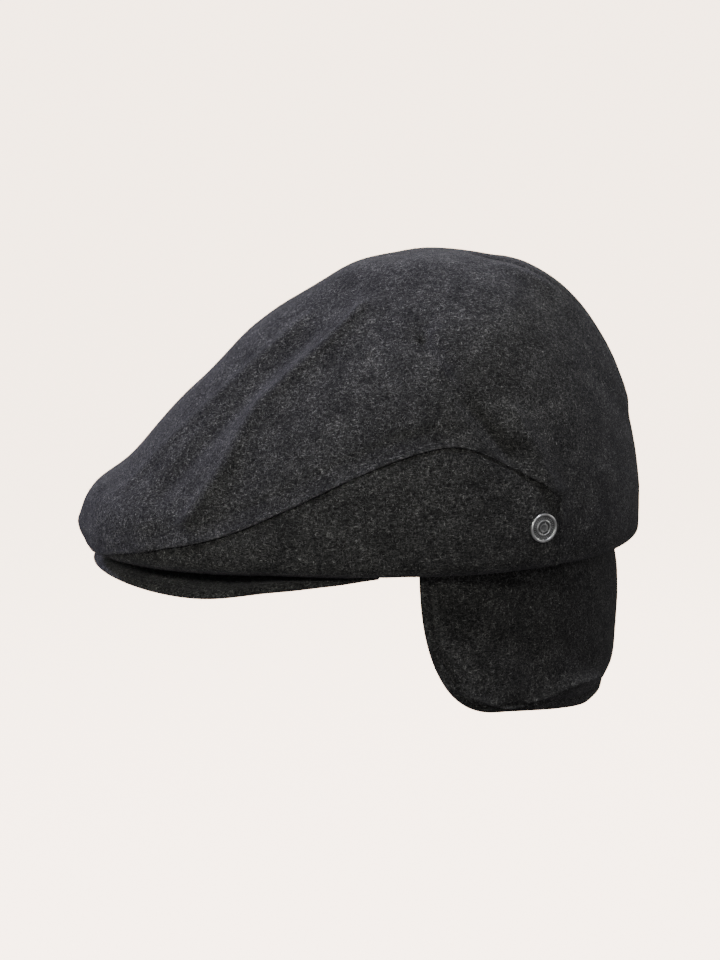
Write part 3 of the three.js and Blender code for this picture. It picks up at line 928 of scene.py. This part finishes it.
photo = {
    "azimuth": 93,
    "elevation": 10.8,
    "roll": 0.033,
    "perPixel": 0.477 * mm,
    "height": 960,
    "centre": (360, 480),
    "origin": (419.5, 538),  # the opening's middle in the photograph
    "lens": 130,
    "sensor": 36,
}


def makeCamera():
    azimuth, elevation = math.radians(photo["azimuth"]), math.radians(photo["elevation"])
    back = Vector((math.sin(azimuth) * math.cos(elevation), -math.cos(azimuth) * math.cos(elevation),
                   math.sin(elevation)))
    right = Vector((math.cos(azimuth), math.sin(azimuth), 0))
    up = back.cross(right)
    right, up = (right - photo["roll"] * up).normalized(), (up + photo["roll"] * right).normalized()
    across = (photo["centre"][0] - photo["origin"][0]) * photo["perPixel"]
    high = (photo["origin"][1] - photo["centre"][1]) * photo["perPixel"]
    aim = right * across + up * high
    distance = photo["height"] * photo["perPixel"] * photo["lens"] / photo["sensor"]
    data = bpy.data.cameras.new("camera")
    data.lens = photo["lens"]
    data.sensor_width = photo["sensor"]
    data.clip_end = 20
    camera = bpy.data.objects.new("camera", data)
    bpy.context.collection.objects.link(camera)
    turned = Matrix((right, up, back)).transposed().to_4x4()
    camera.matrix_world = Matrix.Translation(aim + back * distance) @ turned
    bpy.context.scene.camera = camera


studio = {
    "paper": (1.0, 0.80, 0.64),
    "sky": (0.92, 0.9, 0.9),
    "floorDepth": 0.45,
    "floorSize": 80,
    "floorGlow": 5.2,
    "skyLight": 0.34,
    "aim": (0, -0.02, 0.03),  # what every light points at
    "lights": [
        # name, place, size, watts, colour
        ("key", (1.3, -1.0, 0.85), 0.35, 21, (0.98, 1.0, 0.88)),
        ("front", (1.8, 0.1, 0.3), 1.2, 4, (1.0, 1.0, 0.93)),
        ("top", (0.6, 0.1, 1.85), 0.18, 34, (0.95, 0.95, 1.0)),
        ("nose", (-0.35, -1.4, 1.4), 0.25, 42, (0.71, 0.65, 1.0)),
        ("back", (-0.2, 1.8, 0.6), 0.6, 9, (1.0, 1.0, 0.93)),
        ("far", (-1.8, 0.2, 0.8), 0.8, 16, (1.0, 1.0, 0.98)),
    ],
}


def makeStudio():
    clearSelection()
    bpy.ops.mesh.primitive_plane_add(size=studio["floorSize"], location=(0, 0, -studio["floorDepth"]))
    floor = bpy.context.active_object
    floor.name = "floor"
    finish = Finish("pale_floor")
    finish.feed("Base Color", (*studio["paper"], 1))
    finish.feed("Roughness", 0.9)
    finish.feed("Emission Color", (*studio["paper"], 1))
    finish.feed("Emission Strength", studio["floorGlow"])
    floor.data.materials.append(finish.material)
    floor.visible_diffuse = False
    floor.visible_glossy = False
    for name, place, size, watts, colour in studio["lights"]:
        data = bpy.data.lights.new(name, "AREA")
        data.shape = "DISK"
        data.size = size
        data.energy = watts
        data.color = colour
        lamp = bpy.data.objects.new(name, data)
        bpy.context.collection.objects.link(lamp)
        lamp.location = place
        lamp.rotation_euler = (Vector(studio["aim"]) - Vector(place)).to_track_quat("-Z", "Y").to_euler()
    world = bpy.data.worlds.new("world")
    world.use_nodes = True
    background = world.node_tree.nodes["Background"]
    background.inputs[0].default_value = (*studio["sky"], 1)
    background.inputs[1].default_value = studio["skyLight"]
    bpy.context.scene.world = world


makeCamera()
makeStudio()
print("camera, floor and lights set")

crownWool = woolFinish("charcoal_wool")
# the flap's wool is the crown's wool darkened to 0.85: painted shade for the shadow the crown casts on the
# flap
flapWoolPaintedShade = woolFinish("charcoal_wool_flap_painted_shade", 0.85)
top = makeTopPanel()
dress(top, crownWool, "wool", "top_panel")
print("top panel made")
leftSide = makeSidePanel("side_panel_left_wool", 1)
dress(leftSide, crownWool, "wool", "side_panel_left")
rightSide = makeSidePanel("side_panel_right_wool", -1)
dress(rightSide, crownWool, "wool", "side_panel_right")
print("side panels made")
peak = makeBrim()
dress(peak, crownWool, "wool", "brim")
print("brim made")
earFlap = makeFlap()
dress(earFlap, flapWoolPaintedShade, "wool", "ear_flap")
print("ear flap made")
dress(makeBadge(), metalFinish(), "badge_metal", "badge")
print("badge made")
dress(makeFuzz([top, leftSide, rightSide, peak, earFlap]), fibreFinish(), "wool")
print("fuzz made")
